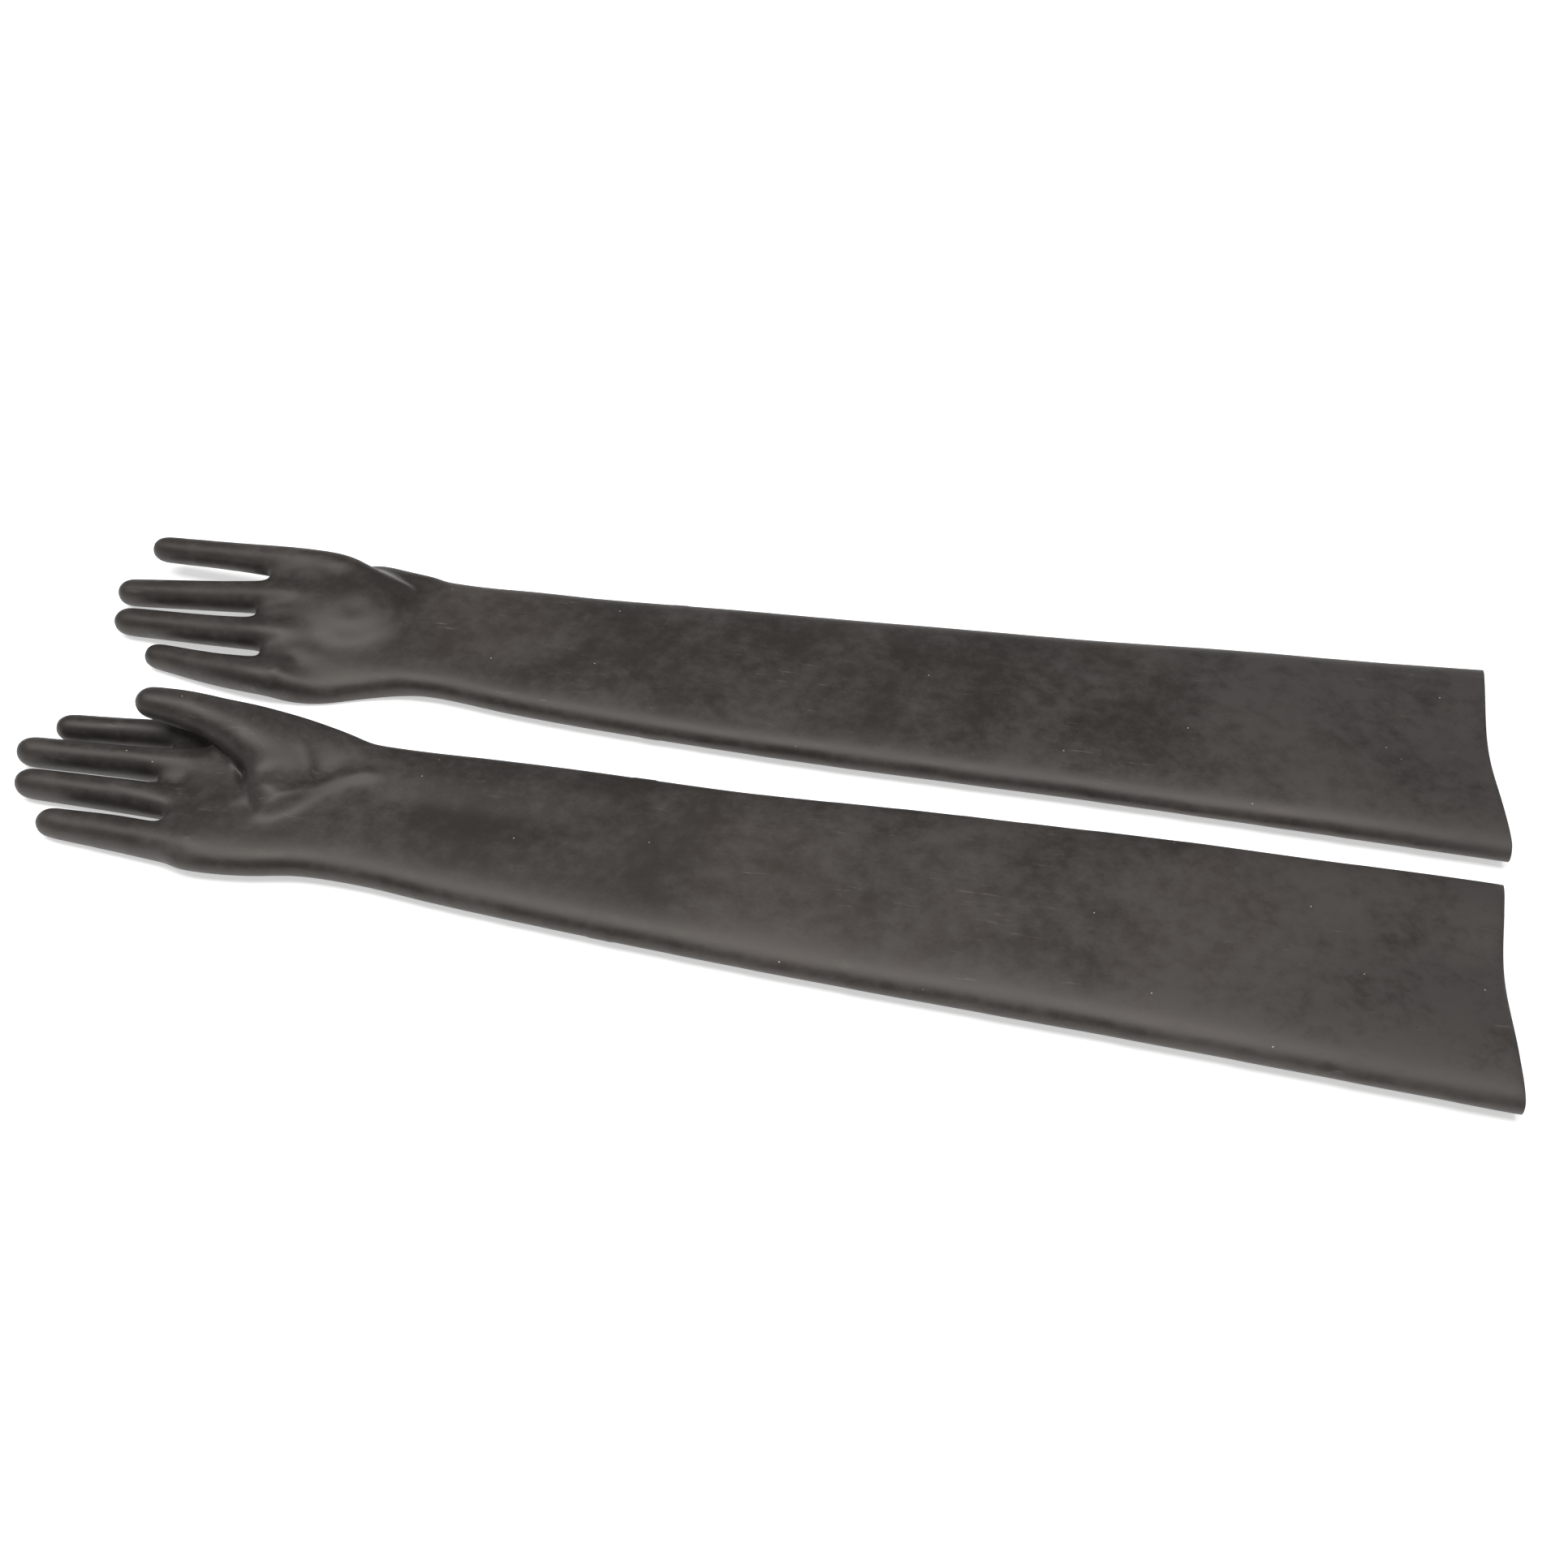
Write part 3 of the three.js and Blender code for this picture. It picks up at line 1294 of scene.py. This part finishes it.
def left_glove(joints: dict[str, dict]) -> Glove:
    """The far glove: back of the hand up, resting on its thumb and little finger.

    Args:
        joints: The part's joints by name.

    Returns:
        The glove, ready to build.
    """
    hand = SlackTube(
        (
            Station(110, -50, 41, 6, 24, 8),
            Station(122, -56.5, 46.5, 5, 26.5, 8.5),
            Station(135, -58, 50, 4, 25, 8.5),
            Station(152, -55.5, 45.5, 3, 23, 8),
            Station(172, -49, 36, 1, 21, 5),
            Station(190, -45, 30, 0, 20, 2),
            Station(208, -43, 28, 0, 19.5, 0),
        ),
    )
    sleeve = SlackTube(
        (
            Station(168, -38, 55, 0, 16.5),
            Station(180, -42, 54, 0, 18.5),
            Station(196, -44, 52, 0, 20),
            Station(215, -44.5, 50.5, 0, 20.5),
            Station(260, -50.5, 51.5, 0, 20.5),
            Station(400, -61, 55, 0, 20.5),
            Station(600, -67, 63, 0, 20.5),
            Station(820, -76.5, 73, 0, 20.5),
        ),
    )
    on_back = Reach(14, 90)
    return Glove(
        side=Side.LEFT,
        lie=Lie(Side.LEFT, joints),
        tubes=[hand, sleeve],
        cuff=811.0,
        soft_from=(120.0, -48.0, 13.0),
        soft_to=(178.0, 28.0, 90.0),
        digits=[
            thumb(
                98.0,
                Knot(78, 26.5, 5.9, 5.2, 1.35),
                Knot(102, 28, 6.4, 5.6, 1.35),
                Knot(150, 30, 10, 9.5, 1.3),
            ),
            finger(
                "index_finger",
                62.0,
                Knot(18.8, 46.8, 18.6, 7.8),
                Knot(66, 42, 23, 8.4),
                Knot(112, 36, 27.4, 9.9),
                Knot(140, 35, 25.8, 10.2),
                Knot(158, 30.5, 22, 10),
                Knot(176, 27, 17.5, 9.5),
            ),
            finger(
                "middle_finger",
                64.0,
                Knot(8.8, 13.5, 10.2, 8.2),
                Knot(64, 11.3, 16.8, 8.9),
                Knot(112, 9.6, 22.6, 9.8, 1.04),
                Knot(150, 9, 22, 9.5, 1.2),
            ),
            finger(
                "ring_finger",
                68.0,
                Knot(16.8, -11, 9, 8.2),
                Knot(70, -15.2, 13.4, 8.8),
                Knot(114, -18.2, 17.8, 9.7, 1.02),
                Knot(150, -13, 14.5, 9, 1.3),
            ),
            finger(
                "little_finger",
                80.0,
                Knot(45.2, -36, 7.4, 7.4),
                Knot(84, -43.8, 10, 9.2),
                Knot(120, -48, 12.4, 10, 1.1),
                Knot(148, -45, 6.5, 8, 1.2),
            ),
        ],
        swellings=[
            Mound((150, 13, 12), (40, 37, 22)),
            Stall((Knot(102, 24, 24, 6), Knot(128, 23, 26, 9))),
            Stall((Knot(103, -4, 19, 6), Knot(128, -3.5, 20.5, 9), Knot(150, -2, 20, 9))),
            Stall((Knot(115, -32, 14, 6), Knot(134, -31, 14.5, 8.5), Knot(156, -28, 8, 8.5, 1.3))),
            Stall(
                (
                    Knot(138, 47, 8.5, 8.5),
                    Knot(154, 49.3, 9, 9.5),
                    Knot(172, 46.2, 9.5, 9.6),
                    Knot(190, 41.5, 10.5, 10),
                )
            ),
        ],
        marks=[
            Swell(157, -1, 14, 11, -1.6, 0.0, on_back),
            Fold(((132, -38), (128, -46), (125, -56)), 3.5, 1.2, Reach(8, 90)),
        ],
        late_marks=[
            Slackness(0.35, 2.9),
            FormerLine(344, -0.03, 8.0, 0.22),
            CuffBow(4.5, 2.0, 0.0, 811.0),
        ],
    )


# ---------------------------------------------------------------- studio


@dataclass(frozen=True)
class Studio:
    """A pale floor, soft light from above, and the camera.

    Attributes:
        azimuth: The camera's bearing from the front, in degrees.
        elevation: Its height above the floor, in degrees.
        distance: How far it stands from its target, in millimetres.
        target: The point it looks at, in millimetres.
        field_of_view: Its horizontal field of view, in degrees.
        world_light: Strength of the even light all round.
    """

    azimuth: float = 10.45
    elevation: float = 45.8
    distance: float = 993.0
    target: Point = (23.3, 2.0, 0.0)
    field_of_view: float = 47.19
    world_light: float = 0.28

    def build(self) -> None:
        """Makes the floor, lights, world and camera."""
        self._floor()
        self._light("softbox", (-0.35, -0.2, 1.5), (2.2, 0.9), 33.0)
        self._world()
        self._camera()
        bpy.context.scene.view_settings.view_transform = "Standard"

    def _floor(self) -> None:
        """Makes the floor as one wide square."""
        bm = bmesh.new()
        bmesh.ops.create_grid(bm, x_segments=1, y_segments=1, size=4.0)
        mesh = bpy.data.meshes.new("floor")
        bm.to_mesh(mesh)
        bm.free()
        mesh.materials.append(MattCard().material())
        floor = bpy.data.objects.new("floor", mesh)
        bpy.context.scene.collection.objects.link(floor)
        floor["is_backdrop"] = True

    def _light(self, name: str, place: Point, size: PlanPoint, power: float) -> None:
        """Adds a soft light that points straight down.

        Args:
            name: The light's name.
            place: Where it stands, in metres.
            size: Its length and width.
            power: Its power in watts.
        """
        data = bpy.data.lights.new(name, "AREA")
        data.shape = "RECTANGLE"
        data.size, data.size_y = size
        data.energy = power
        light = bpy.data.objects.new(name, data)
        light.location = place
        bpy.context.scene.collection.objects.link(light)

    def _world(self) -> None:
        """Surrounds the scene with even white light."""
        world = bpy.data.worlds.new("studio")
        world.use_nodes = True
        background = world.node_tree.nodes["Background"]
        background.inputs["Color"].default_value = linear("ffffff")
        background.inputs["Strength"].default_value = self.world_light
        bpy.context.scene.world = world

    def _camera(self) -> None:
        """Makes the camera and makes it the scene's own."""
        data = bpy.data.cameras.new("camera")
        data.sensor_width = 36.0
        data.lens = data.sensor_width / 2 / math.tan(math.radians(self.field_of_view / 2))
        data.clip_start, data.clip_end = 0.01, 20.0
        camera = bpy.data.objects.new("camera", data)
        a, e = math.radians(self.azimuth), math.radians(self.elevation)
        back = Vector((math.sin(a) * math.cos(e), -math.cos(a) * math.cos(e), math.sin(e)))
        camera.location = (Vector(self.target) + back * self.distance) * MM
        camera.rotation_euler = (-back).to_track_quat("-Z", "Y").to_euler()
        bpy.context.scene.collection.objects.link(camera)
        bpy.context.scene.camera = camera


def main(cad_box: list[list[float]]) -> None:
    """Builds both gloves and the studio.

    Args:
        cad_box: The lowest and highest corner of the CAD model. Not used.
    """
    joints = {j["name"]: j for j in frame["joints"]}
    rubber = DippedRubber().material()
    for glove in (left_glove(joints), right_glove(joints)):
        for piece in glove.build(rubber):
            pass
    Studio().build()


if __name__ == "__main__":
    logging.basicConfig(level=logging.INFO, format="%(name)s: %(message)s")
    main([list(corner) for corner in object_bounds()])
